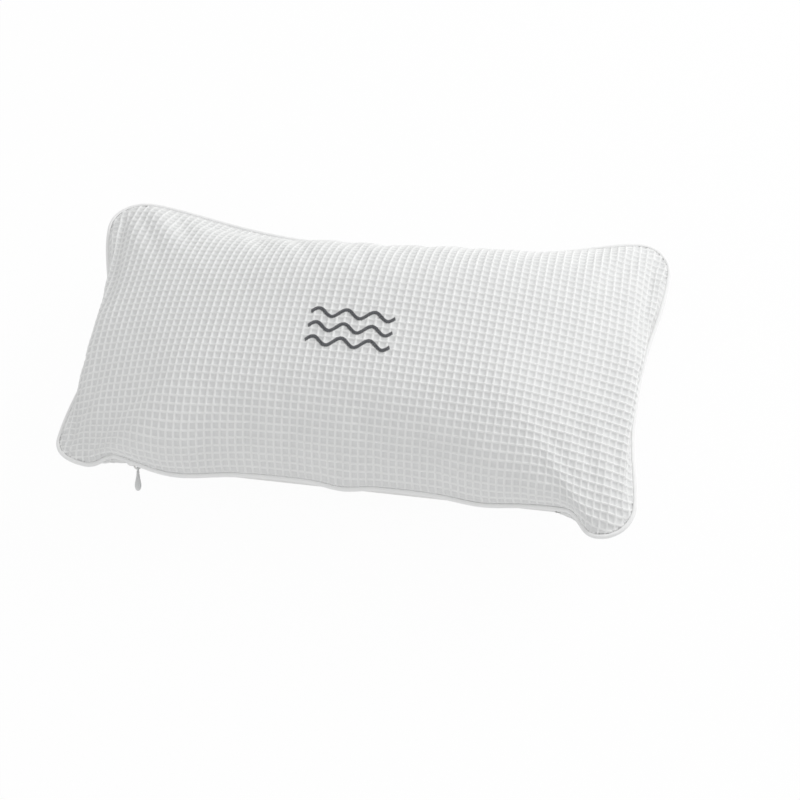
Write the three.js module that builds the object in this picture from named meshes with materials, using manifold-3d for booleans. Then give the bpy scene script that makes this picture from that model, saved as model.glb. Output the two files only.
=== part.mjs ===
// Bath pillow: a zipped waffle cover with piping over a filled inner bag, held by four suction cups.
// Millimetres, +Z up. The pillow lies on its suction cups with its front up.
// X runs along the length, -Y is the zipped edge, and the origin is below the middle at the floor.
import * as THREE from 'three';
import { mergeVertices } from 'three/addons/utils/BufferGeometryUtils.js';
import Module from 'manifold-3d';

const wasm = await Module();
wasm.setup();

// Whole pillow, measured over the piping
const coverLength = 350;
const coverWidth = 200;
const frontCrown = 48;
const backCrown = 30;

// Clearance between pieces that touch, and the overrun of cuts and joins
const gap = 0.3;
const overrun = 0.4;

// Seam outline: corner lobes, and how far each side is drawn in between them
const lobeRadius = 20;
const zipSideDrawIn = 13;
const topDrawIn = 17;
const endDrawIn = 8;
const zipSideBend = 10;
const topBend = 22;
const topSweep = 85;
const endBend = 32;

// Fabrics
const coverFabric = 1.2;
const pipingFabric = 0.5;
const linerFabric = 0.6;
const zipTapeFabric = 0.5;

// Piping and seam allowance
const pipingCordRadius = 1.0;
const seamAllowance = 8;
const seamBulk = 3.2;

// Crown of the front: how soon the seam's bends fade into it, the fall of its ridge toward the ends,
// and the exponents of its section over the long sides and over the ends, softer toward the corners
const bendFade = 6;
const ridgeFallShare = 0.095;
const frontShoulder = 3.0;
const endShoulder = 1.4;
const cornerSoftness = 1.5;
const frontFullness = 0.75;
const endFullness = 0.47;

// Back: a flat that carries the suction cups, shorter toward the ends, and the rise from it to the seam
const backFlatShare = 0.62;
const backEndFlatShare = 0.46;
const backShoulder = 2.5;
const backEndShoulder = 1.7;
const backCornerSoftness = 0.5;

// Inner bag, set in from the seam behind the seam allowance and the zip, and loose under the front
const bagInset = 14;
const bagSlack = 1.4;
const bagCornerRadius = 30;

// Zip
const zipEndMargin = 42;
const zipEndRamp = 3;
const zipEndGap = 0.5;
const zipTapeLeg = 8;
const zipTapeWeb = 3.6;
const zipTapeSetBack = 3;
const zipSlit = 1.6;
const toothPitch = 2.8;
const toothNeck = 1.0;
const toothHead = 1.2;
const toothLength = 1.6;
const coilSpine = 1.0;
const coilDepth = 1.8;
const chainMargin = 10;
const stopThickness = 0.7;
const stopGrip = 1.8;
const topStopLength = 2.2;
const bottomStopLength = 3;

// Slider, its bail and its puller
const sliderLength = 9;
const sliderFlare = 0.7;
const sliderBack = 1.0;
const sliderWall = 0.8;
const sliderFaceThickness = 0.8;
const sliderFaceWidth = 3.8;
const dividerLength = 2.4;
const dividerNeck = 1.0;
const dividerWidth = 2.2;
const bailRadius = 2.0;
const bailBar = 0.9;
const bailLift = 0.75;
const eyeHole = 0.95;
const eyeWall = 0.8;
const eyeThickness = 0.9;
const pullerLength = 16.8;
const pullerNeckRadius = 0.85;
const pullerRadius = 2.0;
const pullerRestTilt = THREE.MathUtils.degToRad(15);

// Eyelets and suction cups, and the flat left round the outer sides of each eyelet
const cupEndMargin = 9.5;
const cupSideMargin = 1.3;
const neckRadius = 3.6;
const eyeletWall = 0.6;
const eyeletFlangeRadius = 9;
const eyeletLipRadius = 6;
const eyeletThickness = 0.8;
const cupRadius = 23;
const cupHeight = 12;
const cupBellHeight = 7.5;
const cupCollarRadius = 7.5;
const cupHollow = 5;
const cupLip = 0.8;
const cupHeadRadius = 6.4;
const cupHeadHeight = 3.4;

// Embroidery on the front: three stitched waves
const waveLength = 50;
const waveHeight = 2.6;
const waveSpacing = 9.5;
const waveCount = 3;
const waveTurns = 3;
const stitchWidth = 3;
const stitchRise = 0.9;
const stitchLift = 0.4;
const embroideryDrop = 8;

// Facet counts
const zipStations = 5;
const zipBendStations = 4;
const lobeStations = 5;
const endStations = 4;
const topStations = 6;
const bagSideStations = 4;
const bagCornerStations = 3;
const bagEndStations = 2;
const cordSides = 6;
const pipingArcSteps = 5;
const roundSteps = 24;
const eyeletSteps = 16;
const pullerSteps = 14;
const waveSteps = 30;
const stitchSides = 5;

// Sizes worked out from those above
const pipingRadius = pipingCordRadius + gap + pipingFabric;
const pipingSlit = gap;
const pipingLegTop = pipingSlit / 2 + pipingFabric;
const flangeFace = pipingLegTop + gap;
const panelInset = Math.sqrt((pipingRadius + gap) ** 2 - flangeFace ** 2);
const zipLegFar = flangeFace + zipTapeFabric;
const zipAxisDrop = zipLegFar + zipTapeWeb + zipSlit / 2;
const zipRimDrop = 2 * zipAxisDrop - 2 * flangeFace;
const eyeletOuterFace = backCrown + gap + eyeletThickness;
const washerTop = backCrown - coverFabric - gap - eyeletThickness;
const lipTop = washerTop - gap - eyeletWall;
const headBottom = lipTop - gap;
const headTop = headBottom - cupHeadHeight;
const linerBackDepth = headTop - gap;
const seamHeight = eyeletOuterFace + gap + cupHeight;

// Half sizes of the seam line, which is the middle line of the piping
const halfLength = coverLength / 2 - pipingRadius;
const halfWidth = coverWidth / 2 - pipingRadius;
const zipLine = halfWidth - zipSideDrawIn;
const topLine = halfWidth - topDrawIn;
const nearLine = Math.min(zipLine, topLine);
const zipOpening = coverLength - 2 * zipEndMargin;

// Half of the ridge of the crown, as far from the ends as from the sides
const crownRidge = halfLength - halfWidth;

// Places of the suction cups, from the edges of the flat inside the back
const flatInset = panelInset + seamBulk;
const flatEnd = THREE.MathUtils.lerp(crownRidge, halfLength - endDrawIn - flatInset, backEndFlatShare);
const flatSide = backFlatShare * (nearLine - flatInset);
const cupX = flatEnd - cupEndMargin - eyeletFlangeRadius;
const cupY = flatSide - cupSideMargin - eyeletFlangeRadius;

// Half of the seam line, from the middle of the zipped side round the +X end to the middle of the top
function halfSeamLine() {
  const at = (x, y) => new THREE.Vector2(x, y);
  const zipEnd = zipOpening / 2;
  const lobeX = halfLength - lobeRadius;
  const lobeY = halfWidth - lobeRadius;
  const endX = halfLength - endDrawIn;
  const lobe = (y, from, to) => new THREE.EllipseCurve(lobeX, y, lobeRadius, lobeRadius, from, to);
  const bend = (a, b, c, d) => new THREE.CubicBezierCurve(a, b, c, d);
  const stretches = [
    [new THREE.LineCurve(at(0, -zipLine), at(zipEnd - zipEndRamp, -zipLine)), zipStations],
    [new THREE.LineCurve(at(zipEnd - zipEndRamp, -zipLine), at(zipEnd, -zipLine)), 1],
    [bend(at(zipEnd, -zipLine), at(zipEnd + zipSideBend, -zipLine),
      at(lobeX - zipSideBend, -halfWidth), at(lobeX, -halfWidth)), zipBendStations],
    [lobe(-lobeY, -Math.PI / 2, 0), lobeStations],
    [bend(at(halfLength, -lobeY), at(halfLength, endBend - lobeY),
      at(endX, -endBend), at(endX, 0)), endStations],
    [bend(at(endX, 0), at(endX, endBend),
      at(halfLength, lobeY - endBend), at(halfLength, lobeY)), endStations],
    [lobe(lobeY, 0, Math.PI / 2), lobeStations],
    [bend(at(lobeX, halfWidth), at(lobeX - topBend, halfWidth),
      at(topSweep, topLine), at(0, topLine)), topStations],
  ];
  return pointsAlong(stretches);
}

// Half of the edge of the inner bag, a rectangle with round corners inside the seam allowance and the zip
function halfBagLine() {
  const x = halfLength - endDrawIn - bagInset;
  const y = nearLine - bagInset;
  const r = bagCornerRadius;
  const line = (fromX, fromY, toX, toY) => new THREE.LineCurve(
    new THREE.Vector2(fromX, fromY),
    new THREE.Vector2(toX, toY),
  );
  const stretches = [
    [line(0, -y, x - r, -y), bagSideStations],
    [new THREE.EllipseCurve(x - r, r - y, r, r, -Math.PI / 2, 0), bagCornerStations],
    [line(x, r - y, x, y - r), bagEndStations],
    [new THREE.EllipseCurve(x - r, y - r, r, r, 0, Math.PI / 2), bagCornerStations],
    [line(x - r, y, 0, y), bagSideStations],
  ];
  return pointsAlong(stretches);
}

function pointsAlong(stretches) {
  return stretches.flatMap(([curve, count], index) => curve.getPoints(count).slice(index === 0 ? 0 : 1));
}

// The zipped side without its sharp bends, which the crown follows away from the seam
function easedPoint(point) {
  const lobeX = halfLength - lobeRadius;
  if (point.y > -zipLine || Math.abs(point.x) > lobeX) return point;
  return new THREE.Vector2(point.x, -zipLine - zipSideDrawIn * (point.x / lobeX) ** 2);
}

// A whole edge from its +X half, anticlockwise seen from the front. Each station has its outward
// direction, the point of the ridge that it faces, and how far it is past the ridge and into a corner.
function stationsFrom(right) {
  const left = right.slice(1, -1).reverse().map((p) => new THREE.Vector2(-p.x, p.y));
  const points = [...right, ...left];
  const endReach = Math.max(...right.map((p) => p.x)) - crownRidge;
  return points.map((point, index) => {
    const before = points[(index + points.length - 1) % points.length];
    const after = points[(index + 1) % points.length];
    const along = new THREE.Vector2().subVectors(after, before).normalize();
    const ridge = new THREE.Vector2(THREE.MathUtils.clamp(point.x, -crownRidge, crownRidge), 0);
    return {
      point,
      eased: easedPoint(point),
      outward: new THREE.Vector2(along.y, -along.x),
      ridge,
      pastRidge: Math.abs(point.x - ridge.x) / endReach,
      cornerness: Math.abs((point.x * point.y) / (halfLength * halfWidth)) ** 2,
    };
  });
}

const stations = stationsFrom(halfSeamLine());
const bagStations = stationsFrom(halfBagLine());

// A station moved in from its edge, then taken part of the way out from the ridge to it.
// Its height is above the seam.
function ringPoint(station, inset, share, height) {
  const edge = station.eased.clone().lerp(station.point, share ** bendFade);
  edge.addScaledVector(station.outward, -inset);
  const place = station.ridge.clone().lerp(edge, share);
  return new THREE.Vector3(place.x, place.y, seamHeight + height);
}

// How far the edge of the back is held down at a station, to make room for the zip
function zipRoom(station) {
  const { x, y } = station.point;
  if (y > 0) return 0;
  const inside = (zipOpening / 2 - Math.abs(x)) / zipEndRamp;
  return zipRimDrop * THREE.MathUtils.clamp(inside, 0, 1);
}

// Exponent of the section from the ridge to the edge at a station, part of the way out
function shoulderAt(station, share, side, end, softness) {
  return THREE.MathUtils.lerp(side, end, station.pastRidge) - softness * station.cornerness * share;
}

// Height of the front above its rim, as a share of its crown
function frontShare(station, share) {
  const shoulder = shoulderAt(station, share, frontShoulder, endShoulder, cornerSoftness);
  const fullness = THREE.MathUtils.lerp(frontFullness, endFullness, station.pastRidge);
  const fall = ridgeFallShare * (station.ridge.x / crownRidge) ** 2;
  return (1 - fall) * (1 - share ** shoulder) ** fullness;
}

// Depth of the back below its rim, as a share of its crown. Its rings count from the edge of the flat,
// at 0, out to the rim, at 1, and those on the flat count back from its edge.
function backShare(station, ring) {
  const rise = Math.max(0, ring);
  return 1 - rise ** shoulderAt(station, rise, backShoulder, backEndShoulder, backCornerSoftness);
}

function backRingPlace(station, ring) {
  const flat = THREE.MathUtils.lerp(backFlatShare, backEndFlatShare, station.pastRidge);
  return ring < 0 ? flat * (1 + ring) : THREE.MathUtils.lerp(flat, 1, ring);
}

// Closed body through rings of points, from the pole on its upper face out to the rim and back to the
// pole on its lower face. Past the rim the faces split the other way, so that nested surfaces agree.
function ringBody(upperPole, rings, lowerPole, rimRing) {
  const count = rings[0].length;
  const points = [upperPole, ...rings.flat(), lowerPole];
  const last = points.length - 1;
  const at = (ring, station) => 1 + ring * count + (station % count);
  const faces = [];
  for (let i = 0; i < count; i += 1) {
    faces.push(0, at(0, i), at(0, i + 1));
    faces.push(last, at(rings.length - 1, i + 1), at(rings.length - 1, i));
    for (let ring = 0; ring + 1 < rings.length; ring += 1) {
      const [a, b, c, d] = [at(ring, i), at(ring + 1, i), at(ring + 1, i + 1), at(ring, i + 1)];
      faces.push(...(ring < rimRing ? [a, b, c, a, c, d] : [a, b, d, b, c, d]));
    }
  }
  return geometryFrom(points, faces);
}

// Closed band: one section, given in outward and upward distances, carried round every station
function bandBody(section) {
  const points = stations.flatMap((station) => section.map(([out, up]) => ringPoint(station, -out, 1, up)));
  const faces = [];
  const at = (station, corner) => (station % stations.length) * section.length + (corner % section.length);
  for (let i = 0; i < stations.length; i += 1) {
    for (let j = 0; j < section.length; j += 1) {
      faces.push(at(i, j), at(i + 1, j), at(i + 1, j + 1));
      faces.push(at(i, j), at(i + 1, j + 1), at(i, j + 1));
    }
  }
  return geometryFrom(points, faces);
}

function geometryFrom(points, faces) {
  const geometry = new THREE.BufferGeometry().setFromPoints(points);
  geometry.setIndex(faces);
  return geometry;
}

// Boolean solids
function solidFrom(geometry) {
  const bare = geometry.clone();
  bare.deleteAttribute('normal');
  bare.deleteAttribute('uv');
  const merged = mergeVertices(bare);
  return new wasm.Manifold(new wasm.Mesh({
    numProp: 3,
    vertProperties: Float32Array.from(merged.attributes.position.array),
    triVerts: Uint32Array.from(merged.index.array),
  }));
}

function geometryOf(solid) {
  const mesh = solid.getMesh();
  const geometry = new THREE.BufferGeometry();
  geometry.setAttribute('position', new THREE.BufferAttribute(Float32Array.from(mesh.vertProperties), 3));
  geometry.setIndex(Array.from(mesh.triVerts));
  return geometry;
}

function joined(geometries) {
  const solids = geometries.map(solidFrom);
  return geometryOf(solids.reduce((sum, solid) => sum.add(solid)));
}

function cutFrom(geometry, cutters) {
  const whole = solidFrom(geometry);
  return geometryOf(cutters.map(solidFrom).reduce((rest, cutter) => rest.subtract(cutter), whole));
}

// Extrusion of an outline in X and Z, from one Y to another
function acrossY(shape, fromY, toY) {
  const options = { depth: toY - fromY, bevelEnabled: false, curveSegments: pullerSteps };
  const geometry = new THREE.ExtrudeGeometry(shape, options);
  geometry.rotateX(Math.PI / 2);
  return geometry.translate(0, toY, 0);
}

// Extrusion along X of a zip section, whose corners are outward and upward distances from the seam line
function alongZip(section, fromX, toX) {
  const corners = section.map(([out, up]) => new THREE.Vector2(-zipLine - out, seamHeight + up));
  const shape = new THREE.Shape(corners);
  const geometry = new THREE.ExtrudeGeometry(shape, { depth: toX - fromX, bevelEnabled: false });
  geometry.applyMatrix4(new THREE.Matrix4().set(0, 0, 1, fromX, 1, 0, 0, 0, 0, 1, 0, 0, 0, 0, 0, 1));
  return geometry;
}

function rectangle(fromOut, toOut, fromUp, toUp) {
  return [[fromOut, fromUp], [toOut, fromUp], [toOut, toUp], [fromOut, toUp]];
}

// Front and back of the cover, each a shell whose edge turns in as seam allowance
const frontRingShares = [0.06, 0.2, 0.4, 0.6, 0.78, 0.9, 0.97, 1];
const backRingShares = [-0.5, 0, 0.25, 0.53, 0.78, 1];

function frontPanel() {
  const outer = (share) => stations.map((s) => ringPoint(s, panelInset, share,
    flangeFace + (frontCrown - flangeFace) * frontShare(s, share)));
  const innerRim = flangeFace + coverFabric;
  const inner = (share) => stations.map((s) => ringPoint(s, flatInset, share,
    innerRim + (frontCrown - coverFabric - innerRim) * frontShare(s, share)));
  const flange = (height) => stations.map((s) => ringPoint(s, panelInset + seamAllowance, 1, height));
  const rings = [
    ...frontRingShares.map(outer),
    flange(flangeFace),
    flange(innerRim),
    ...frontRingShares.map(inner).reverse(),
  ];
  return ringBody(
    new THREE.Vector3(0, 0, seamHeight + frontCrown),
    rings,
    new THREE.Vector3(0, 0, seamHeight + frontCrown - coverFabric),
    frontRingShares.length,
  );
}

function backPanel() {
  const rim = (s) => -flangeFace - zipRoom(s);
  const innerRim = (s) => rim(s) - coverFabric;
  const outer = (ring) => stations.map((s) => ringPoint(s, panelInset, backRingPlace(s, ring),
    rim(s) - (backCrown + rim(s)) * backShare(s, ring)));
  const inner = (ring) => stations.map((s) => ringPoint(s, flatInset, backRingPlace(s, ring),
    innerRim(s) - (backCrown - coverFabric + innerRim(s)) * backShare(s, ring)));
  const flange = (height) => stations.map((s) => ringPoint(s, panelInset + seamAllowance, 1, height(s)));
  const rings = [
    ...backRingShares.map(inner),
    flange(innerRim),
    flange(rim),
    ...backRingShares.map(outer).reverse(),
  ];
  const shell = ringBody(
    new THREE.Vector3(0, 0, seamHeight - backCrown + coverFabric),
    rings,
    new THREE.Vector3(0, 0, seamHeight - backCrown),
    backRingShares.length,
  );
  const holeRadius = neckRadius + gap + eyeletWall + gap;
  const holes = cupPlaces().map(([x, y]) => {
    const hole = new THREE.CylinderGeometry(holeRadius, holeRadius, coverFabric + 2 * overrun, eyeletSteps);
    return hole.rotateX(Math.PI / 2).translate(x, y, seamHeight - backCrown + coverFabric / 2);
  });
  return cutFrom(shell, holes);
}

// Piping: a cord, and a bias strip folded round it whose two legs run into the seam
function pipingCord() {
  const section = [];
  for (let i = 0; i < cordSides; i += 1) {
    const turn = (i / cordSides) * 2 * Math.PI;
    section.push([pipingCordRadius * Math.cos(turn), pipingCordRadius * Math.sin(turn)]);
  }
  return bandBody(section);
}

function pipingTape() {
  const arc = (radius, height) => {
    const half = Math.PI - Math.asin(height / radius);
    const points = [];
    for (let i = 0; i <= pipingArcSteps; i += 1) {
      const turn = -half + (2 * half * i) / pipingArcSteps;
      points.push([radius * Math.cos(turn), radius * Math.sin(turn)]);
    }
    return points;
  };
  const legEnd = -(panelInset + seamAllowance);
  return bandBody([
    [legEnd, -pipingLegTop],
    ...arc(pipingRadius, pipingLegTop),
    [legEnd, pipingLegTop],
    [legEnd, pipingSlit / 2],
    ...arc(pipingRadius - pipingFabric, pipingSlit / 2).reverse(),
    [legEnd, -pipingSlit / 2],
  ]);
}

// Inner bag in two halves, and the filling inside it
const bagFrontRingShares = frontRingShares.filter((share, index) => index !== frontRingShares.length - 2);
const bagBackRingShares = backRingShares.filter((share, index) => index !== backRingShares.length - 2);
const linerFrontTop = frontCrown - coverFabric - bagSlack;
const frontForm = { rings: bagFrontRingShares, place: (station, ring) => ring, crown: frontShare };
const backForm = { rings: bagBackRingShares, place: backRingPlace, crown: backShare };

function bagHalf(side, rimHeight, crownHeight, form) {
  const outer = (ring) => bagStations.map((s) => ringPoint(s, 0, form.place(s, ring),
    side * (rimHeight + (crownHeight - rimHeight) * form.crown(s, ring))));
  const innerCrown = crownHeight - linerFabric;
  const inner = (ring) => bagStations.map((s) => ringPoint(s, 2 * linerFabric, form.place(s, ring),
    side * (rimHeight + (innerCrown - rimHeight) * form.crown(s, ring))));
  const outerPole = new THREE.Vector3(0, 0, seamHeight + side * crownHeight);
  const innerPole = new THREE.Vector3(0, 0, seamHeight + side * innerCrown);
  if (side > 0) {
    const rings = [...form.rings.map(outer), ...form.rings.map(inner).reverse()];
    return ringBody(outerPole, rings, innerPole, form.rings.length);
  }
  const rings = [...form.rings.map(inner), ...form.rings.map(outer).reverse()];
  return ringBody(innerPole, rings, outerPole, form.rings.length);
}

function linerFront() {
  return bagHalf(1, gap / 2, linerFrontTop, frontForm);
}

function linerBack() {
  return bagHalf(-1, gap / 2, linerBackDepth, backForm);
}

function filling() {
  const inset = 2 * linerFabric + gap;
  const top = linerFrontTop - linerFabric - gap;
  const bottom = linerBackDepth - linerFabric - gap;
  const upper = (share) => bagStations.map((s) => ringPoint(s, inset, share, top * frontShare(s, share)));
  const lower = (ring) => bagStations.map((s) => ringPoint(s, inset, backRingPlace(s, ring),
    -bottom * backShare(s, ring)));
  const rings = [...bagFrontRingShares.map(upper), ...bagBackRingShares.slice(0, -1).map(lower).reverse()];
  return ringBody(
    new THREE.Vector3(0, 0, seamHeight + top),
    rings,
    new THREE.Vector3(0, 0, seamHeight - bottom),
    bagFrontRingShares.length - 1,
  );
}

// Zip tapes: a leg sewn into the seam and a web turned across the opening
const zipWebFace = -zipTapeSetBack;
const zipWebBack = zipWebFace - zipTapeFabric;

function zipTape(side) {
  const legEnd = zipWebFace - zipTapeLeg;
  const far = zipAxisDrop - flangeFace;
  const near = zipAxisDrop - zipLegFar;
  const edge = zipSlit / 2;
  const section = [
    [zipWebFace, edge], [zipWebFace, far], [legEnd, far],
    [legEnd, near], [zipWebBack, near], [zipWebBack, edge],
  ];
  const placed = section.map(([out, up]) => [out, side * up - zipAxisDrop]);
  const half = zipOpening / 2 - zipEndRamp - zipEndGap;
  return alongZip(side > 0 ? placed : placed.reverse(), -half, half);
}

// Places along the zip: the slider rests at the closed end, against the two top stops
const stopStart = -zipOpening / 2 + zipEndRamp + zipEndGap;
const sliderStart = stopStart + topStopLength + gap;
const chainStart = sliderStart + dividerLength + gap;
const chainLength = zipOpening / 2 - chainMargin - chainStart;
const toothCount = Math.floor(chainLength / toothPitch);
const chainEnd = chainStart + toothCount * toothPitch;
const bottomStopStart = chainEnd + toothPitch / 2 + gap;
const sliderTravel = bottomStopStart - gap - (sliderStart + sliderLength);
const coilFront = zipWebBack - gap;
const coilBack = coilFront - coilDepth;
const toothReach = toothLength / 2 - gap / 2;
const spineFrom = toothReach + 2 * gap;
const spineTo = spineFrom + coilSpine;

// One coil: a spine with a tooth at every pitch, wider at its head, so the two rows lock
function zipCoil(side) {
  const shift = side > 0 ? 0 : toothPitch / 2;
  const start = chainStart + shift;
  const height = (value) => seamHeight - zipAxisDrop + side * value;
  const shape = new THREE.Shape();
  shape.moveTo(start, height(spineTo));
  shape.lineTo(start, height(spineFrom));
  for (let i = 0; i < toothCount; i += 1) {
    const middle = start + (i + 1 / 2) * toothPitch;
    shape.lineTo(middle - toothNeck / 2, height(spineFrom));
    shape.lineTo(middle - toothHead / 2, height(-toothReach));
    shape.lineTo(middle + toothHead / 2, height(-toothReach));
    shape.lineTo(middle + toothNeck / 2, height(spineFrom));
  }
  shape.lineTo(start + toothCount * toothPitch, height(spineFrom));
  shape.lineTo(start + toothCount * toothPitch, height(spineTo));
  return acrossY(shape, -zipLine - coilFront, -zipLine - coilBack);
}

// Stops: a clip round the edge of each tape at the closed end, and one across both at the open end
function topStop(side) {
  const outerFace = zipWebFace + gap + stopThickness;
  const innerFace = zipWebBack - gap - stopThickness;
  const base = gap / 2;
  const seat = zipSlit / 2 - gap;
  const grip = seat + stopGrip;
  const section = [
    [innerFace, base], [outerFace, base], [outerFace, grip], [zipWebFace + gap, grip],
    [zipWebFace + gap, seat], [zipWebBack - gap, seat], [zipWebBack - gap, grip], [innerFace, grip],
  ];
  const placed = section.map(([out, up]) => [out, side * up - zipAxisDrop]);
  return alongZip(side > 0 ? placed : placed.reverse(), stopStart, stopStart + topStopLength);
}

function bottomStop() {
  const outerFace = zipWebFace + gap + stopThickness;
  const innerFace = zipWebBack - gap - stopThickness;
  const neck = zipSlit / 2 - gap;
  const grip = neck + stopGrip;
  const half = [
    [innerFace, grip], [innerFace, -grip], [zipWebBack - gap, -grip], [zipWebBack - gap, -neck],
    [zipWebFace + gap, -neck], [zipWebFace + gap, -grip], [outerFace, -grip], [outerFace, grip],
    [zipWebFace + gap, grip], [zipWebFace + gap, neck], [zipWebBack - gap, neck], [zipWebBack - gap, grip],
  ];
  const placed = half.map(([out, up]) => [out, up - zipAxisDrop]);
  return alongZip(placed, bottomStopStart, bottomStopStart + bottomStopLength);
}

// Slider: a channel round the coils, a divider through the slit and a face plate that carries the bail
const sliderMiddle = sliderStart + sliderLength / 2;
const faceBack = zipWebFace + gap;
const faceFront = faceBack + sliderFaceThickness;
const bailPivotOut = faceFront + bailLift;

// Plate outline in X and Z, wider at the mouth where the divider is
function sliderPlate(halfTail, flare) {
  const shape = new THREE.Shape();
  const level = seamHeight - zipAxisDrop;
  const end = sliderStart + sliderLength;
  const mouth = halfTail + flare;
  const round = halfTail / 2;
  shape.moveTo(end - round, level - halfTail);
  shape.quadraticCurveTo(end, level - halfTail, end, level - halfTail + round);
  shape.lineTo(end, level + halfTail - round);
  shape.quadraticCurveTo(end, level + halfTail, end - round, level + halfTail);
  shape.lineTo(sliderStart + round, level + mouth);
  shape.quadraticCurveTo(sliderStart, level + mouth, sliderStart, level + mouth - round);
  shape.lineTo(sliderStart, level - mouth + round);
  shape.quadraticCurveTo(sliderStart, level - mouth, sliderStart + round, level - mouth);
  return shape;
}

function sliderWedge() {
  const level = seamHeight - zipAxisDrop;
  const half = dividerWidth / 2;
  const shape = new THREE.Shape();
  shape.moveTo(sliderStart, level - half);
  shape.lineTo(sliderStart + dividerLength / 2, level - half);
  shape.lineTo(sliderStart + dividerLength, level);
  shape.lineTo(sliderStart + dividerLength / 2, level + half);
  shape.lineTo(sliderStart, level + half);
  return shape;
}

function sliderBail() {
  const outer = bailRadius + bailBar / 2;
  const inner = bailRadius - bailBar / 2;
  const foot = -(bailLift + overrun);
  const shape = new THREE.Shape();
  shape.moveTo(outer, foot);
  shape.absarc(0, 0, outer, 0, Math.PI, false);
  shape.lineTo(-outer, foot);
  shape.lineTo(-inner, foot);
  shape.absarc(0, 0, inner, Math.PI, 0, true);
  shape.lineTo(inner, foot);
  const options = { depth: bailBar, bevelEnabled: false, curveSegments: pullerSteps };
  const bail = new THREE.ExtrudeGeometry(shape, options);
  bail.translate(0, 0, -bailBar / 2);
  bail.rotateZ(Math.PI);
  return bail.translate(sliderMiddle, -zipLine - bailPivotOut, seamHeight - zipAxisDrop);
}

function zipSlider() {
  const hollow = spineTo + gap;
  const outside = hollow + sliderWall;
  const plateFrom = coilBack - gap - sliderBack;
  const level = -zipAxisDrop;
  const atOut = (out) => -zipLine - out;
  const body = cutFrom(
    acrossY(sliderPlate(outside, sliderFlare), atOut(zipWebBack - gap), atOut(plateFrom)),
    [alongZip(
      rectangle(coilBack - gap, zipWebBack, level - hollow, level + hollow),
      sliderStart - overrun,
      sliderStart + sliderLength + overrun,
    )],
  );
  return joined([
    body,
    acrossY(sliderWedge(), atOut(zipWebBack - gap), atOut(coilBack - gap - overrun)),
    alongZip(
      rectangle(coilBack - gap - overrun, faceBack + overrun,
        level - dividerNeck / 2, level + dividerNeck / 2),
      sliderStart,
      sliderStart + dividerLength / 2,
    ),
    acrossY(sliderPlate(sliderFaceWidth / 2, 0), atOut(faceFront), atOut(faceBack)),
    sliderBail(),
  ]);
}

// Puller: an eye round the bail and a drop that hangs from it, made along -Y with the pivot at its origin
const pullerProfileShares = [
  [0.12, 0.42], [0.3, 0.56], [0.5, 0.8], [0.68, 1], [0.82, 0.97], [0.92, 0.72], [0.98, 0.36],
];

function zipPuller() {
  const eyeRadius = eyeHole + eyeWall;
  const eye = new THREE.CylinderGeometry(eyeRadius, eyeRadius, eyeThickness, pullerSteps);
  eye.rotateZ(Math.PI / 2).translate(0, -bailRadius, 0);
  const neckAt = bailRadius + eyeHole + eyeWall / 2;
  const profile = [
    new THREE.Vector2(0, neckAt),
    new THREE.Vector2(pullerNeckRadius, neckAt),
    ...pullerProfileShares.map(([along, wide]) =>
      new THREE.Vector2(pullerRadius * wide, THREE.MathUtils.lerp(neckAt, pullerLength, along))),
    new THREE.Vector2(0, pullerLength),
  ];
  const drop = new THREE.LatheGeometry(profile, pullerSteps).rotateX(Math.PI);
  const hole = new THREE.CylinderGeometry(eyeHole, eyeHole, eyeThickness + 2 * overrun, pullerSteps);
  hole.rotateZ(Math.PI / 2).translate(0, -bailRadius, 0);
  return cutFrom(joined([eye, drop]), [hole]);
}

// Eyelets and suction cups, one set at each corner of the back flat
function cupPlaces() {
  return [[-cupX, -cupY], [cupX, -cupY], [cupX, cupY], [-cupX, cupY]];
}

function turned(profile, steps) {
  const points = profile.map(([r, z]) => new THREE.Vector2(r, z));
  return new THREE.LatheGeometry(points, steps).rotateX(Math.PI / 2);
}

function eyelet() {
  const bore = neckRadius + gap;
  const barrel = bore + eyeletWall;
  const outerFace = -eyeletOuterFace;
  const innerFace = outerFace + eyeletThickness;
  return turned([
    [bore, outerFace], [eyeletFlangeRadius - eyeletWall, outerFace],
    [eyeletFlangeRadius, innerFace - eyeletWall / 2],
    [eyeletFlangeRadius, innerFace], [barrel, innerFace], [barrel, -washerTop + gap],
    [eyeletLipRadius, -washerTop + gap], [eyeletLipRadius, -lipTop],
    [bore, -lipTop], [bore, outerFace],
  ], eyeletSteps);
}

function eyeletWasher() {
  const hole = neckRadius + gap + eyeletWall + gap;
  const bottom = -washerTop - eyeletThickness;
  const edge = eyeletFlangeRadius - eyeletWall;
  return turned([
    [hole, bottom], [eyeletFlangeRadius, bottom], [edge, -washerTop], [hole, -washerTop], [hole, bottom],
  ], eyeletSteps);
}

// Suction cup profile: hollow underside, lip, bell, collar, neck and the head inside the cover
function suctionCup() {
  const floor = -seamHeight;
  const at = (height) => floor + height;
  const rim = cupRadius - cupLip;
  const hollowShares = [[0.4, 0.9], [0.72, 0.58], [0.91, 0.24]];
  const bellShares = [[0.78, 0.42], [0.52, 0.72], [0.25, 0.92]];
  const bell = (wide) => cupCollarRadius + (cupRadius - cupCollarRadius) * wide;
  return turned([
    [0, at(cupHollow)],
    ...hollowShares.map(([wide, high]) => [rim * wide, at(cupHollow * high)]),
    [rim, floor],
    [cupRadius, floor],
    [cupRadius, at(cupLip)],
    ...bellShares.map(([wide, high]) => [bell(wide), at(cupLip + (cupBellHeight - cupLip) * high)]),
    [cupCollarRadius, at(cupBellHeight)],
    [cupCollarRadius, at(cupHeight)],
    [neckRadius, at(cupHeight)],
    [neckRadius, -headBottom],
    [cupHeadRadius, -headBottom],
    [cupHeadRadius, -headBottom + cupHeadHeight / 2],
    [neckRadius, -headTop],
    [0, -headTop],
  ], roundSteps);
}

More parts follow.
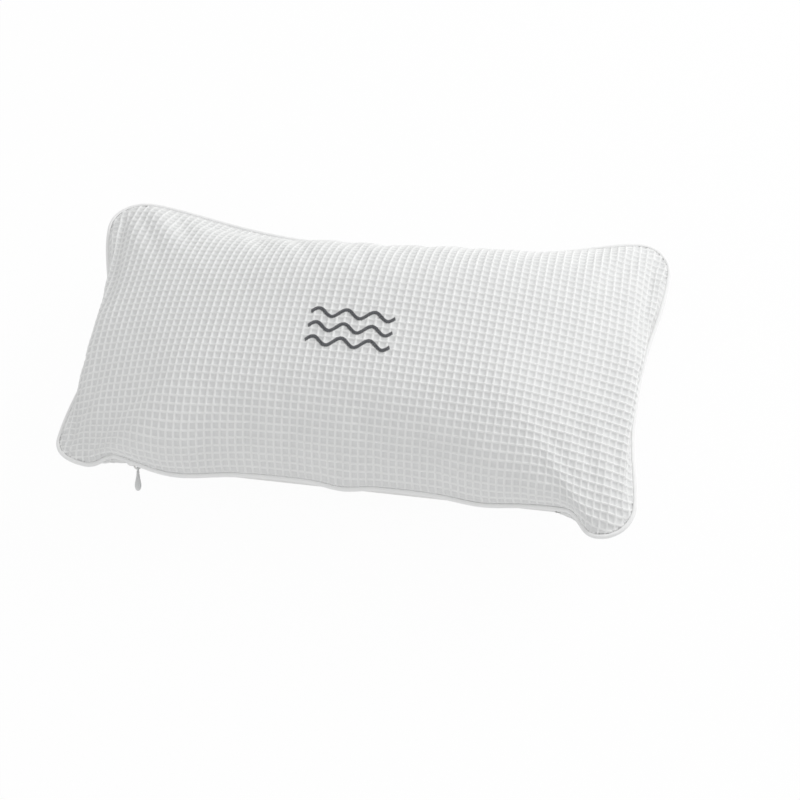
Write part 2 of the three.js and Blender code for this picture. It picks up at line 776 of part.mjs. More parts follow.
// Embroidered waves, laid on the front panel: each point's height is read from the panel's own mesh
function embroideredWave(panel, index) {
  const caster = new THREE.Raycaster();
  const down = new THREE.Vector3(0, 0, -1);
  const sky = seamHeight + 2 * frontCrown;
  const rowY = ((waveCount - 1) / 2 - index) * waveSpacing - embroideryDrop;
  const heightAt = (x, y) => {
    caster.set(new THREE.Vector3(x, y, sky), down);
    return caster.intersectObject(panel)[0].point.z;
  };
  const points = [];
  const faces = [];
  const sides = stitchSides + 2;
  for (let i = 0; i <= waveSteps; i += 1) {
    const along = i / waveSteps;
    const phase = along * waveTurns * 2 * Math.PI;
    const x = (along - 1 / 2) * waveLength;
    const y = rowY + waveHeight * Math.sin(phase);
    const slope = ((waveHeight * waveTurns * 2 * Math.PI) / waveLength) * Math.cos(phase);
    const across = new THREE.Vector2(-slope, 1).normalize();
    for (let j = 0; j < sides; j += 1) {
      const turn = (Math.PI * j) / (sides - 1);
      const side = (Math.cos(turn) * stitchWidth) / 2;
      const px = x + across.x * side;
      const py = y + across.y * side;
      points.push(new THREE.Vector3(px, py, heightAt(px, py) + stitchLift + Math.sin(turn) * stitchRise));
    }
  }
  for (let i = 0; i < waveSteps; i += 1) {
    for (let j = 0; j < sides; j += 1) {
      const a = i * sides + j;
      const b = i * sides + ((j + 1) % sides);
      faces.push(a, b + sides, a + sides, a, b, b + sides);
    }
  }
  for (let j = 1; j + 1 < sides; j += 1) {
    const end = waveSteps * sides;
    faces.push(0, j + 1, j, end, end + j, end + j + 1);
  }
  return geometryFrom(points, faces);
}

// Materials
const finishes = {
  waffle: { color: 0xf1f1ef, roughness: 0.95 },
  piping: { color: 0xf6f6f4, roughness: 0.85 },
  cord: { color: 0xe9e6dd, roughness: 0.9 },
  liner: { color: 0xf4f4f2, roughness: 0.9 },
  filling: { color: 0xfbfbf8, roughness: 1 },
  tape: { color: 0xf0f0ee, roughness: 0.8 },
  nylon: { color: 0xf5f5f3, roughness: 0.45 },
  enamel: { color: 0xf2f2f0, roughness: 0.35, metalness: 0.1 },
  eyelet: { color: 0xeeeeec, roughness: 0.4 },
  cup: { color: 0xdfe6e8, roughness: 0.2, transparent: true, opacity: 0.6 },
  thread: { color: 0x53555a, roughness: 0.55 },
};

const pillow = new THREE.Group();

function place(name, geometry, finish) {
  const flat = geometry.index ? geometry.toNonIndexed() : geometry;
  flat.deleteAttribute('normal');
  flat.deleteAttribute('uv');
  const welded = mergeVertices(flat);
  welded.computeVertexNormals();
  const mesh = new THREE.Mesh(welded, new THREE.MeshStandardMaterial(finishes[finish]));
  mesh.name = name;
  pillow.add(mesh);
  return mesh;
}

const front = place('front_panel', frontPanel(), 'waffle');
place('back_panel', backPanel(), 'waffle');
place('piping_tape', pipingTape(), 'piping');
place('piping_cord', pipingCord(), 'cord');
place('liner_front', linerFront(), 'liner');
place('liner_back', linerBack(), 'liner');
place('filling', filling(), 'filling');
place('zip_tape_front', zipTape(1), 'tape');
place('zip_tape_back', zipTape(-1), 'tape');
place('zip_coil_front', zipCoil(1), 'nylon');
place('zip_coil_back', zipCoil(-1), 'nylon');
place('zip_top_stop_front', topStop(1), 'enamel');
place('zip_top_stop_back', topStop(-1), 'enamel');
place('zip_bottom_stop', bottomStop(), 'enamel');
place('zip_slider', zipSlider(), 'enamel');

const puller = place('zip_puller', zipPuller(), 'enamel');
puller.rotation.z = pullerRestTilt;
puller.position.set(sliderMiddle, -zipLine - bailPivotOut, seamHeight - zipAxisDrop);

cupPlaces().forEach(([x, y], index) => {
  const set = [
    place(`eyelet_${index + 1}`, eyelet(), 'eyelet'),
    place(`eyelet_washer_${index + 1}`, eyeletWasher(), 'eyelet'),
    place(`suction_cup_${index + 1}`, suctionCup(), 'cup'),
  ];
  set.forEach((mesh) => mesh.position.set(x, y, seamHeight));
});

for (let index = 0; index < waveCount; index += 1) {
  place(`embroidered_wave_${index + 1}`, embroideredWave(front, index), 'thread');
}

console.log(`zip teeth on each side: ${toothCount}, slider travel: ${sliderTravel.toFixed(2)} mm`);

export default pillow;
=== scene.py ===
import math

import bmesh
import bpy
import numpy as np
from mathutils import Matrix, Vector
from mathutils.bvhtree import BVHTree


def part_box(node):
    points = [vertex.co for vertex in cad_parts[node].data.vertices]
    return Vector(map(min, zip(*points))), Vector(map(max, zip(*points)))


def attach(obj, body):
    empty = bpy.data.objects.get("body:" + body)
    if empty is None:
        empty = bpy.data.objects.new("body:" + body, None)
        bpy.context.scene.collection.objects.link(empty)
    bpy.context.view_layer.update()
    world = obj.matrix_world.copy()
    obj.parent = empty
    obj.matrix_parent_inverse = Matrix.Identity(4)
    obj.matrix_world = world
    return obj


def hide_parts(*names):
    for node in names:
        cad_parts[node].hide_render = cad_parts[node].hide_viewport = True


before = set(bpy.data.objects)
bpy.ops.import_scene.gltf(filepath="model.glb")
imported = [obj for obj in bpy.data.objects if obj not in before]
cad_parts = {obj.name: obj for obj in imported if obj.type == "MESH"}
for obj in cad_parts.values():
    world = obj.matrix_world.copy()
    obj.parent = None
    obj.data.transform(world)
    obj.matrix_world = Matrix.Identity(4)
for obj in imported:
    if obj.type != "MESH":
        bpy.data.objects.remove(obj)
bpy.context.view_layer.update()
scene = bpy.context.scene


# Camera: a long lens above the zipped side, a quarter of the way round toward the right hand end,
# rolled so that the pillow leans in the picture as it does in the photograph.
seam_low, seam_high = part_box("piping_tape")
seam_height = (seam_low.z + seam_high.z) / 2
picture_pixels = 800
turn_round, look_down, roll = math.radians(23.7), math.radians(57.6), math.radians(-14.9)
camera_distance = 1.168
focal_pixels = 1949
seam_middle_pixel = (364.1, 359.4)
sensor_width = 36

back = Vector((math.sin(turn_round) * math.cos(look_down),
               -math.cos(turn_round) * math.cos(look_down),
               math.sin(look_down)))
level_right = Vector((math.cos(turn_round), math.sin(turn_round), 0))
level_up = back.cross(level_right)
right = math.cos(roll) * level_right + math.sin(roll) * level_up
up = math.cos(roll) * level_up - math.sin(roll) * level_right
middle_ray = (-back * focal_pixels
              + right * (picture_pixels / 2 - seam_middle_pixel[0])
              - up * (picture_pixels / 2 - seam_middle_pixel[1]))
back_axis = -middle_ray.normalized()
right_axis = (right - right.dot(back_axis) * back_axis).normalized()
up_axis = back_axis.cross(right_axis)


def new_object(name, data):
    made = bpy.data.objects.new(name, data)
    scene.collection.objects.link(made)
    return made


camera_data = bpy.data.cameras.new("photo_camera")
camera_data.sensor_width = sensor_width
camera_data.lens = sensor_width * focal_pixels / picture_pixels
camera_data.clip_start, camera_data.clip_end = 0.05, 50
camera = new_object("photo_camera", camera_data)
camera_place = Vector((0, 0, seam_height)) + back * camera_distance
turned = Matrix((right_axis, up_axis, back_axis)).transposed()
camera.matrix_world = Matrix.Translation(camera_place) @ turned.to_4x4()
scene.camera = camera


# Floor and light: a pale floor that keeps the pillow's shadow, a broad lamp behind on the right,
# a weaker one in front on the left, and an even white surround.
floor_half_width = 6
floor_glow = 0.96
surround_light, surround_seen = 0.70, 1.0
lit_point = (0, 0, 0.05)


def set_inputs(node, values):
    """Sets unlinked inputs of a node, by name or number."""
    for key, value in values.items():
        node.inputs[key].default_value = value


def new_material(name, values):
    """A new material, with its node tree and its Principled BSDF, set to the values."""
    material = bpy.data.materials.new(name)
    material.use_nodes = True
    shader = material.node_tree.nodes["Principled BSDF"]
    set_inputs(shader, values)
    return material, material.node_tree, shader


def add_node(tree, kind, values=(), **settings):
    """A new node with its settings and the values of its inputs."""
    node = tree.nodes.new(kind)
    for key, value in settings.items():
        setattr(node, key, value)
    set_inputs(node, dict(values))
    return node


def object_place(tree):
    return add_node(tree, "ShaderNodeTexCoord").outputs["Object"]


def joined_value(tree, operation, *values):
    """The result of a maths node on sockets and plain numbers."""
    node = add_node(tree, "ShaderNodeMath", operation=operation)
    for socket, value in zip(node.inputs, values):
        if isinstance(value, (int, float)):
            socket.default_value = value
        else:
            tree.links.new(value, socket)
    return node.outputs[0]


floor_mesh = bpy.data.meshes.new("floor")
floor_form = bmesh.new()
bmesh.ops.create_grid(floor_form, x_segments=1, y_segments=1, size=floor_half_width)
floor_form.to_mesh(floor_mesh)
floor_form.free()
floor = new_object("floor", floor_mesh)
floor_finish, tree, shader = new_material("floor_white", {
    "Base Color": (0.9, 0.9, 0.9, 1), "Roughness": 0.9, "Specular IOR Level": 0})
ray = add_node(tree, "ShaderNodeLightPath").outputs
seen = joined_value(tree, "MAXIMUM", ray["Is Camera Ray"], ray["Is Glossy Ray"])
seen_through = joined_value(tree, "MAXIMUM", seen, ray["Is Transmission Ray"])
glow = add_node(tree, "ShaderNodeEmission", {"Color": (1, 1, 1, 1), "Strength": 1})
mixed = add_node(tree, "ShaderNodeMixShader")
tree.links.new(joined_value(tree, "MULTIPLY", seen_through, floor_glow), mixed.inputs[0])
tree.links.new(shader.outputs[0], mixed.inputs[1])
tree.links.new(glow.outputs[0], mixed.inputs[2])
tree.links.new(mixed.outputs[0], tree.nodes["Material Output"].inputs["Surface"])
floor_mesh.materials.append(floor_finish)

surround = bpy.data.worlds.new("surround")
surround.use_nodes = True
world_tree = surround.node_tree
ray = add_node(world_tree, "ShaderNodeLightPath").outputs
strength = add_node(world_tree, "ShaderNodeMix", {2: surround_light, 3: surround_seen}, data_type="FLOAT")
world_tree.links.new(ray["Is Camera Ray"], strength.inputs[0])
world_tree.links.new(strength.outputs[0], world_tree.nodes["Background"].inputs["Strength"])
world_tree.nodes["Background"].inputs["Color"].default_value = (1, 1, 1, 1)
scene.world = surround


def add_lamp(name, place, size, power):
    data = bpy.data.lights.new(name, "AREA")
    data.shape = "DISK"
    data.size = size
    data.energy = power
    lamp = new_object(name, data)
    lamp.location = place
    lamp.rotation_mode = "QUATERNION"
    lamp.rotation_quaternion = (Vector(lit_point) - Vector(place)).to_track_quat("-Z", "Y")


add_lamp("lamp_right", (1.08, 1.05, 0.88), size=1.0, power=13.2)
add_lamp("lamp_left", (-0.5, -1.2, 0.6), size=1.2, power=1.4)
scene.view_settings.view_transform = "Standard"


# Cover front: white cotton waffle weave, square cells of raised threads round sunk floors. Front and
# back are cut alike, sewn to the piping and filled, which raises the crown, gathers the corners into
# soft ears and puckers the cloth along the seam.
seam_inset = 0.0018
half_length = seam_high.x - seam_inset
half_width = seam_high.y - seam_inset
ear_radius = 0.020
zip_side_draw_in, top_draw_in, end_draw_in = 0.013, 0.017, 0.008
zip_side_bend, top_bend, top_sweep, end_bend = 0.010, 0.022, 0.085, 0.032
zip_half_opening = 0.133
zip_end, zip_ramp = zip_half_opening - 0.0015, 0.004
panel_inset = 0.00070
panel_rise = 0.00120

waffle_pitch = 0.0046
cells_long, cells_wide = 80, 44
cut_corner = 0.030
cloth_step = waffle_pitch * 2 / 3
cut_half = np.array([cells_long, cells_wide]) * waffle_pitch / 2
corner_slack = cloth_step * 0.35


def line_points(a, b, count=160):
    t = np.linspace(0, 1, count)[:, None]
    return (1 - t) * np.array(a, float) + t * np.array(b, float)


def bend_points(a, b, c, d, count=160):
    t = np.linspace(0, 1, count)[:, None]
    a, b, c, d = (np.array(p, float) for p in (a, b, c, d))
    return (1 - t) ** 3 * a + 3 * (1 - t) ** 2 * t * b + 3 * (1 - t) * t * t * c + t ** 3 * d


def arc_points(centre, radius, start, end, count=160):
    t = np.linspace(start, end, count)
    return np.array(centre) + radius * np.column_stack([np.cos(t), np.sin(t)])


def closed_from_right(stretches):
    """A whole outline from its right half, which runs from the zipped side's middle to the top's."""
    half = np.concatenate([stretches[0]] + [s[1:] for s in stretches[1:]])
    return np.concatenate([half, half[1:-1][::-1] * (-1, 1)])


def seam_outline():
    x, y = half_length - ear_radius, half_width - ear_radius
    zip_line, end = half_width - zip_side_draw_in, half_length - end_draw_in
    return closed_from_right([
        line_points((0, -zip_line), (zip_half_opening, -zip_line), 320),
        bend_points((zip_half_opening, -zip_line), (zip_half_opening + zip_side_bend, -zip_line),
                    (x - zip_side_bend, -half_width), (x, -half_width)),
        arc_points((x, -y), ear_radius, -math.pi / 2, 0),
        bend_points((half_length, -y), (half_length, end_bend - y), (end, -end_bend), (end, 0)),
        bend_points((end, 0), (end, end_bend), (half_length, y - end_bend), (half_length, y)),
        arc_points((x, y), ear_radius, 0, math.pi / 2),
        bend_points((x, half_width), (x - top_bend, half_width),
                    (top_sweep, half_width - top_draw_in), (0, half_width - top_draw_in), 320),
    ])


def cut_outline():
    x, y = cut_half - cut_corner
    return closed_from_right([
        line_points((0, -cut_half[1]), (x, -cut_half[1]), 400),
        arc_points((x, -y), cut_corner, -math.pi / 2, 0),
        line_points((cut_half[0], -y), (cut_half[0], y), 400),
        arc_points((x, y), cut_corner, 0, math.pi / 2),
        line_points((x, cut_half[1]), (0, cut_half[1]), 400),
    ])


# Where handling has pushed the filled cover out of its even line: place, push and reach
cover_pushes = (
    ((-0.178, 0.086), (-0.0090, 0.0010), 0.060),
    ((-0.158, -0.104), (0.0, 0.0090), 0.042),
    ((0.162, -0.106), (0.0, -0.0020), 0.040),
    ((0.172, -0.046), (-0.0035, 0.0), 0.044),
    ((-0.070, 0.088), (0.0, -0.0030), 0.100),
    ((0.095, 0.090), (0.0, -0.0030), 0.060),
)
zip_flap_pushes = (
    ((-0.096, -0.090), (0.0, -0.0056), 0.038),
    ((0.004, -0.090), (0.0, -0.0030), 0.018),
    ((0.086, -0.090), (0.0, -0.0032), 0.028),
)


def nearness(points, place, reach):
    """From 1 at a place to nearly 0 at a reach from it, seen from above."""
    return np.exp(-((points[:, :2] - place) ** 2).sum(1) / (2 * (reach / 2) ** 2))[:, None]


def pushed(points, pushes):
    moved = points.copy()
    for place, push, reach in pushes:
        moved[:, :2] += nearness(points, place, reach) * push
    return moved


class Outline:
    """A closed line with its running length, and the lengths at which it passes its sides' middles
    and its corners."""

    def __init__(self, points):
        self.points = points
        self.looped = np.concatenate([points, points[:1]])
        steps = np.linalg.norm(np.diff(self.looped, axis=0), axis=1)
        self.lengths = np.concatenate([[0], np.cumsum(steps)])
        shaped = points / points.max(0)
        angle = np.mod(np.arctan2(shaped[:, 1], shaped[:, 0]) + math.pi / 2, 2 * math.pi)
        eighths = np.arange(1, 8) * math.pi / 4
        passed = np.interp(eighths, angle[1:], self.lengths[1:-1])
        self.marks = np.concatenate([[0], passed, self.lengths[-1:]])

    def at(self, length):
        return np.column_stack([np.interp(length, self.lengths, self.looped[:, i]) for i in (0, 1)])

    def outward_at(self, length, reach=0.001):
        total = self.lengths[-1]
        along = self.at(np.mod(length + reach, total)) - self.at(np.mod(length - reach, total))
        along /= np.linalg.norm(along, axis=1)[:, None]
        return np.column_stack([along[:, 1], -along[:, 0]])


seam = Outline(seam_outline())
cut = Outline(cut_outline())


def cut_cloth(name):
    """A panel of cloth on its cutting table: a grid of threads with its corners rounded off. Gives the
    object, each point's place on the cut, which points lie on its edge, and how far round they lie."""
    across, along = (np.round(2 * cut_half / cloth_step)).astype(int)
    form = bmesh.new()
    bmesh.ops.create_grid(form, x_segments=int(across), y_segments=int(along), size=1)
    bmesh.ops.scale(form, vec=(cut_half[0], cut_half[1], 1), verts=form.verts)
    beyond = []
    for vert in form.verts:
        past = np.maximum(np.abs(vert.co.xy) - (cut_half - cut_corner), 0)
        if past.min() > 0 and math.hypot(*past) > cut_corner + corner_slack:
            beyond.append(vert)
    bmesh.ops.delete(form, geom=beyond, context="VERTS")
    form.verts.index_update()
    places = np.array([v.co.xy for v in form.verts])
    edge = np.array([v.is_boundary for v in form.verts])
    mesh = bpy.data.meshes.new(name)
    form.to_mesh(mesh)
    form.free()
    near = ((places[edge][:, None] - cut.points[None]) ** 2).sum(-1).argmin(1)
    places[edge] = cut.points[near]
    lengths = cut.lengths[near]
    return new_object(name, mesh), places, edge, lengths


def rows_of(items, key, width, kind=np.float32):
    """The numbers that each item of a mesh has under a key, a row each."""
    values = np.zeros(len(items) * width, kind)
    items.foreach_get(key, values)
    return values.reshape(-1, width)


def neighbour_mean(mesh):
    """A function from values at the points of a mesh to their means over each point's neighbours."""
    a, b = rows_of(mesh.edges, "vertices", 2, int).T
    count = len(mesh.vertices)
    neighbours = np.bincount(np.concatenate([a, b]), minlength=count)[:, None]

    def mean(values):
        total = [np.bincount(a, column[b], count) + np.bincount(b, column[a], count) for column in values.T]
        return np.column_stack(total) / neighbours

    return mean


def evened(mesh, values, held, rounds=900):
    """Values at the held points spread evenly over the rest of the mesh."""
    mean = neighbour_mean(mesh)
    for _ in range(rounds):
        values = np.where(held[:, None], values, mean(values))
    return values


def placed(mesh, points):
    mesh.vertices.foreach_set("co", np.asarray(points, np.float32).ravel())
    mesh.update()


def points_of(mesh):
    return rows_of(mesh.vertices, "co", 3).astype(float)


cotton = dict(
    quality=6, mass=0.003, tension_stiffness=20, compression_stiffness=20, shear_stiffness=5,
    bending_stiffness=0.2, tension_damping=1, compression_damping=1, shear_damping=1, bending_damping=0.1,
    air_damping=1, pin_stiffness=1)


def filled_cloth(panel, places, held, sewn, side, lift, pressure, frames, closing=15):
    """The cut cloth drawn in to its seam and pushed out by the filling, as Blender's cloth moves it.
    The cut gives the length of every thread, so what is too long for the seam gathers there."""
    mesh = panel.data
    inward = np.clip(1 - (np.abs(places) / cut_half) ** 4, 0, 1).prod(1)
    placed(mesh, np.column_stack([places, side * lift * inward]))
    panel.shape_key_add(name="cut")
    closed = panel.shape_key_add(name="sewn")
    closed.data.foreach_set("co", np.asarray(sewn - (0, 0, seam_height), np.float32).ravel())
    for frame_number, value in ((1, 0), (closing + 1, 1)):
        closed.value = value
        closed.keyframe_insert("value", frame=frame_number)
    for curve in mesh.shape_keys.animation_data.action.fcurves:
        for key in curve.keyframe_points:
            key.interpolation = "LINEAR"
    pins = panel.vertex_groups.new(name="held")
    pins.add([int(i) for i in np.flatnonzero(held)], 1.0, "REPLACE")
    cloth = panel.modifiers.new("cloth", "CLOTH")
    sewing = cloth.settings
    for setting, value in cotton.items():
        setattr(sewing, setting, value)
    sewing.vertex_group_mass = "held"
    sewing.use_pressure = True
    sewing.uniform_pressure_force = side * pressure
    sewing.effector_weights.gravity = 0
    cloth.collision_settings.use_collision = False
    cloth.point_cache.frame_start, cloth.point_cache.frame_end = 1, frames + 1
    scene.frame_start, scene.frame_end = 1, frames + 1
    for frame_number in range(1, frames + 1):
        scene.frame_set(frame_number)
    settled = points_of(panel.evaluated_get(bpy.context.evaluated_depsgraph_get()).data)
    panel.modifiers.clear()
    panel.shape_key_clear()
    mesh.animation_data_clear()
    scene.frame_set(1)
    settled[:, 2] += seam_height
    placed(mesh, settled)
    return settled


ease_rounds = 14
ease_in, ease_back = 0.5, -0.52


def relaxed(mesh, points, held):
    """Eases the sharp creases out of the settled cloth, as a stuffed bag under it does."""
    mean = neighbour_mean(mesh)
    for way in (ease_in, ease_back) * ease_rounds:
        points = np.where(held[:, None], points, points + way * (mean(points) - points))
    return points


# Where the filling of the front lies thinner or fuller than the even crown: place, shift and reach
front_sinks = (
    ((-0.088, 0.068), (0.0, -0.0030, -0.0040), 0.075),
    ((0.012, 0.070), (0.0, -0.0010, -0.0015), 0.060),
    ((0.112, -0.050), (0.0, -0.0020, 0.0045), 0.070),
)


def sunk(points, sinks, free_height=0.012):
    moved = points.copy()
    free = np.clip(np.abs(points[:, 2] - seam_height) / free_height, 0, 1)
    for place, sink, reach in sinks:
        moved += nearness(points, place, reach) * free[:, None] * sink
    return moved


def corners_of(mesh):
    """The number of the point at each face corner."""
    return rows_of(mesh.loops, "vertex_index", 1, int)[:, 0]


def with_cut_map(mesh, places):
    """Gives the mesh a map of where each point lay on the cut, in metres, which the weave follows."""
    uv = mesh.uv_layers.get("cut_map") or mesh.uv_layers.new(name="cut_map")
    uv.data.foreach_set("uv", places[corners_of(mesh)].astype(np.float32).ravel())


def cut_map_of(mesh):
    places = np.zeros((len(mesh.vertices), 2))
    places[corners_of(mesh)] = rows_of(mesh.uv_layers["cut_map"].data, "uv", 2)
    return places


def threads_close(panel, levels=2):
    """Subdivides the settled cloth until each waffle cell has six threads across."""
    finer = panel.modifiers.new("finer", "SUBSURF")
    finer.levels = finer.render_levels = levels
    finer.uv_smooth = "NONE"
    finer.boundary_smooth = "ALL"
    made = bpy.data.meshes.new_from_object(panel.evaluated_get(bpy.context.evaluated_depsgraph_get()))
    panel.modifiers.clear()
    coarse = panel.data
    panel.data = made
    made.name = panel.name
    bpy.data.meshes.remove(coarse)
    return made


ridge_height = 0.0003
floor_depth = 0.0007
ridge_half_width = 0.0010
crossing_rise = 0.15
relief_fade = 0.0012
threads_per_cell = 6
lattice_slack = 0.02
thread_shares = np.array([0, 0.115, 0.215, 0.5, 0.785, 0.885])


def drawn_to_ridges(mesh):
    """Moves the threads of each cell along the cloth toward its borders, for steep ridges and flat floors."""
    step = waffle_pitch / threads_per_cell
    places, points = cut_map_of(mesh), points_of(mesh)
    lattice = (places + cut_half) / step
    near = np.round(lattice).astype(int)
    kept = np.flatnonzero(np.abs(lattice - near).max(1) < lattice_slack)
    size = np.round(2 * cut_half / step).astype(int) + 1
    table = np.full(size + 2, -1)
    table[near[kept, 0] + 1, near[kept, 1] + 1] = kept
    column, row = near[kept].T + 1
    moved, shifted = points.copy(), places.copy()
    for axis, (ahead, behind) in enumerate((
            (table[column + 1, row], table[column - 1, row]),
            (table[column, row + 1], table[column, row - 1]))):
        count = np.round(places[kept, axis] / step).astype(int) % threads_per_cell
        shift = (thread_shares[count] - count / threads_per_cell) * waffle_pitch
        inner = (ahead >= 0) & (behind >= 0)
        pull = shift[inner] / (2 * step)
        moved[kept[inner]] += (points[ahead[inner]] - points[behind[inner]]) * pull[:, None]
        shifted[kept[inner], axis] += shift[inner]
    placed(mesh, moved)
    with_cut_map(mesh, shifted)


def waffle_relief(places):
    """Height of the cloth's face: raised threads on the cell borders and a sunk floor between them."""
    away = np.abs(np.mod(places / waffle_pitch + 0.5, 1) - 0.5) * waffle_pitch
    ridges = 0.5 + 0.5 * np.cos(math.pi * np.clip(away / ridge_half_width, 0, 1))
    ridge = ridges.max(1) + crossing_rise * ridges.min(1)
    return ridge * (ridge_height + floor_depth) - floor_depth


def edge_fade(places, reach):
    """From 0 on the edge of the cut to 1 at a reach inside it."""
    past = np.maximum(np.abs(places) - (cut_half - cut_corner), 0)
    to_side = (cut_half - np.abs(places)).min(1)
    in_corner = past.min(1) > 0
    to_corner = cut_corner - np.hypot(*past.T)
    return np.clip(np.where(in_corner, to_corner, to_side) / reach, 0, 1)


# Rows of the embroidered waves, whose stitches press the weave flat
wave_rows = [sum(corner.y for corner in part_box(f"embroidered_wave_{i}")) / 2 for i in (1, 2, 3)]
wave_length, wave_height, wave_turns = 0.050, 0.0026, 3
stitch_width = 0.003


def wave_offset(x):
    return wave_height * np.sin((x / wave_length + 0.5) * wave_turns * 2 * math.pi)


def free_of_stitches(points, margin=0.0012):
    """From 0 under the stitches to 1 a margin outside them."""
    past_end = np.maximum(np.abs(points[:, 0]) - wave_length / 2, 0)
    off_row = np.min([np.abs(points[:, 1] - row - wave_offset(points[:, 0])) for row in wave_rows], axis=0)
    return np.clip((np.hypot(past_end, off_row) - stitch_width / 2) / margin, 0, 1)


def raise_waffle(mesh, side):
    places = cut_map_of(mesh)
    normals = rows_of(mesh.vertex_normals, "vector", 3)
    outward = normals if (normals[:, 2].mean() * side) > 0 else -normals
    points = points_of(mesh)
    share = edge_fade(places, relief_fade)
    if side > 0:
        share *= free_of_stitches(points)
    placed(mesh, points + outward * (waffle_relief(places) * share)[:, None])


fold_width, seam_allowance = 0.0008, 0.006
fold_fall, allowance_fall = 0.000096, 0.00024
spine_half_length = 0.075
zip_tape_low, zip_tape_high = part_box("zip_tape_front")
tape_end_margin, tape_lap, tape_catch = 0.003, 0.001, 0.0006


def turned_in_edge(mesh, side):
    """Folds the edge of a panel in under the piping as its seam allowance, the front's down to the zip's
    upper tape, and turns the panel's faces outwards."""
    form = bmesh.new()
    form.from_mesh(mesh)
    rim = [e for e in form.edges if e.is_boundary]
    for inset, fall in ((fold_width, fold_fall), (seam_allowance, allowance_fall)):
        grown = bmesh.ops.extrude_edge_only(form, edges=rim)["geom"]
        verts = [g for g in grown if isinstance(g, bmesh.types.BMVert)]
        rim = [g for g in grown if isinstance(g, bmesh.types.BMEdge) and g.is_boundary]
        for vert in verts:
            flat = Vector((vert.co.x, vert.co.y, 0))
            centre = Vector((max(-spine_half_length, min(spine_half_length, flat.x)), 0, 0))
            vert.co += (centre - flat).normalized() * inset
            vert.co.z -= side * fall
            over_zip = side > 0 and flat.y < 0 and abs(flat.x) < zip_tape_high.x + tape_end_margin
            if over_zip and inset == seam_allowance:
                vert.co = (flat.x, zip_tape_low.y + tape_lap, zip_tape_high.z - tape_catch)
    if sum(f.normal.z * f.calc_area() for f in form.faces) * side < 0:
        bmesh.ops.reverse_faces(form, faces=form.faces)
    for face in form.faces:
        face.smooth = True
    form.to_mesh(mesh)
    form.free()


# The finish of the cloth: bright raised threads, sunk floors greyed with painted shade, and single yarns in
# both
def ridge_distance(tree, along):
    """Distance from the nearest ridge along one axis of the cut."""
    cells = joined_value(tree, "DIVIDE", along, waffle_pitch)
    past = joined_value(tree, "FRACT", joined_value(tree, "ADD", cells, 0.5))
    away = joined_value(tree, "ABSOLUTE", joined_value(tree, "SUBTRACT", past, 0.5))
    return joined_value(tree, "MULTIPLY", away, waffle_pitch)


def shared_group(name, inputs, outputs):
    """An effect that several finishes use: a node group with its named inputs and outputs."""
    group = bpy.data.node_groups.new(name, "ShaderNodeTree")
    for label, kind, value in inputs:
        socket = group.interface.new_socket(name=label, in_out="INPUT", socket_type=kind)
        if value is not None:
            socket.default_value = value
    for label in outputs:
        group.interface.new_socket(name=label, in_out="OUTPUT", socket_type="NodeSocketFloat")
    return group, group.nodes.new("NodeGroupInput"), group.nodes.new("NodeGroupOutput")


def woven_threads():
    """Plain weave: threads one way pass over and under those the other way. Height rises from 0 to 1
    over each crossing, and Tone drifts slowly over the cloth as its threads' thickness does."""
    group, given, made = shared_group("woven_threads", (
        ("Place", "NodeSocketVector", None),
        ("Threads", "NodeSocketFloat", 3000.0),
    ), ("Height", "Tone"))
    split = add_node(group, "ShaderNodeSeparateXYZ")
    group.links.new(given.outputs["Place"], split.inputs[0])
    waves = []
    for axis in (0, 1):
        counted = joined_value(group, "MULTIPLY", split.outputs[axis], given.outputs["Threads"])
        waves.append(joined_value(group, "SINE", joined_value(group, "MULTIPLY", counted, math.pi)))
    crossing = joined_value(group, "MULTIPLY", *waves)
    fibre = add_node(group, "ShaderNodeTexNoise", {"Scale": 2600.0, "Detail": 2.0})
    drift = add_node(group, "ShaderNodeTexNoise", {"Scale": 60.0, "Detail": 3.0, "Roughness": 0.6})
    for texture in (fibre, drift):
        group.links.new(given.outputs["Place"], texture.inputs["Vector"])
    raised = joined_value(group, "MULTIPLY_ADD", crossing, 0.35, 0.35)
    height = joined_value(group, "MULTIPLY_ADD", fibre.outputs["Fac"], 0.4, raised)
    group.links.new(height, made.inputs["Height"])
    group.links.new(drift.outputs["Fac"], made.inputs["Tone"])
    return group


woven = woven_threads()


def with_bump(tree, height, strength, depth, shader):
    bump = add_node(tree, "ShaderNodeBump", {"Strength": strength, "Distance": depth})
    tree.links.new(height, bump.inputs["Height"])
    tree.links.new(bump.outputs[0], shader.inputs["Normal"])


def with_weave(tree, place, threads, strength, depth, shader):
    """Adds the weave to a finish: its bump goes to the shader, its slow drift is returned."""
    weave = add_node(tree, "ShaderNodeGroup", {"Threads": threads}, node_tree=woven)
    tree.links.new(place, weave.inputs["Place"])
    with_bump(tree, weave.outputs["Height"], strength, depth, shader)
    return weave.outputs["Tone"]


def with_tones(tree, value, dark, light, shader, low=0.0, high=1.0):
    """Colours a finish from dark, where the value is low, to light, where it is high."""
    tones = add_node(tree, "ShaderNodeValToRGB")
    for element, position, colour in zip(tones.color_ramp.elements, (low, high), (dark, light)):
        element.position = position
        element.color = (*colour, 1)
    tree.links.new(value, tones.inputs[0])
    tree.links.new(tones.outputs[0], shader.inputs["Base Color"])


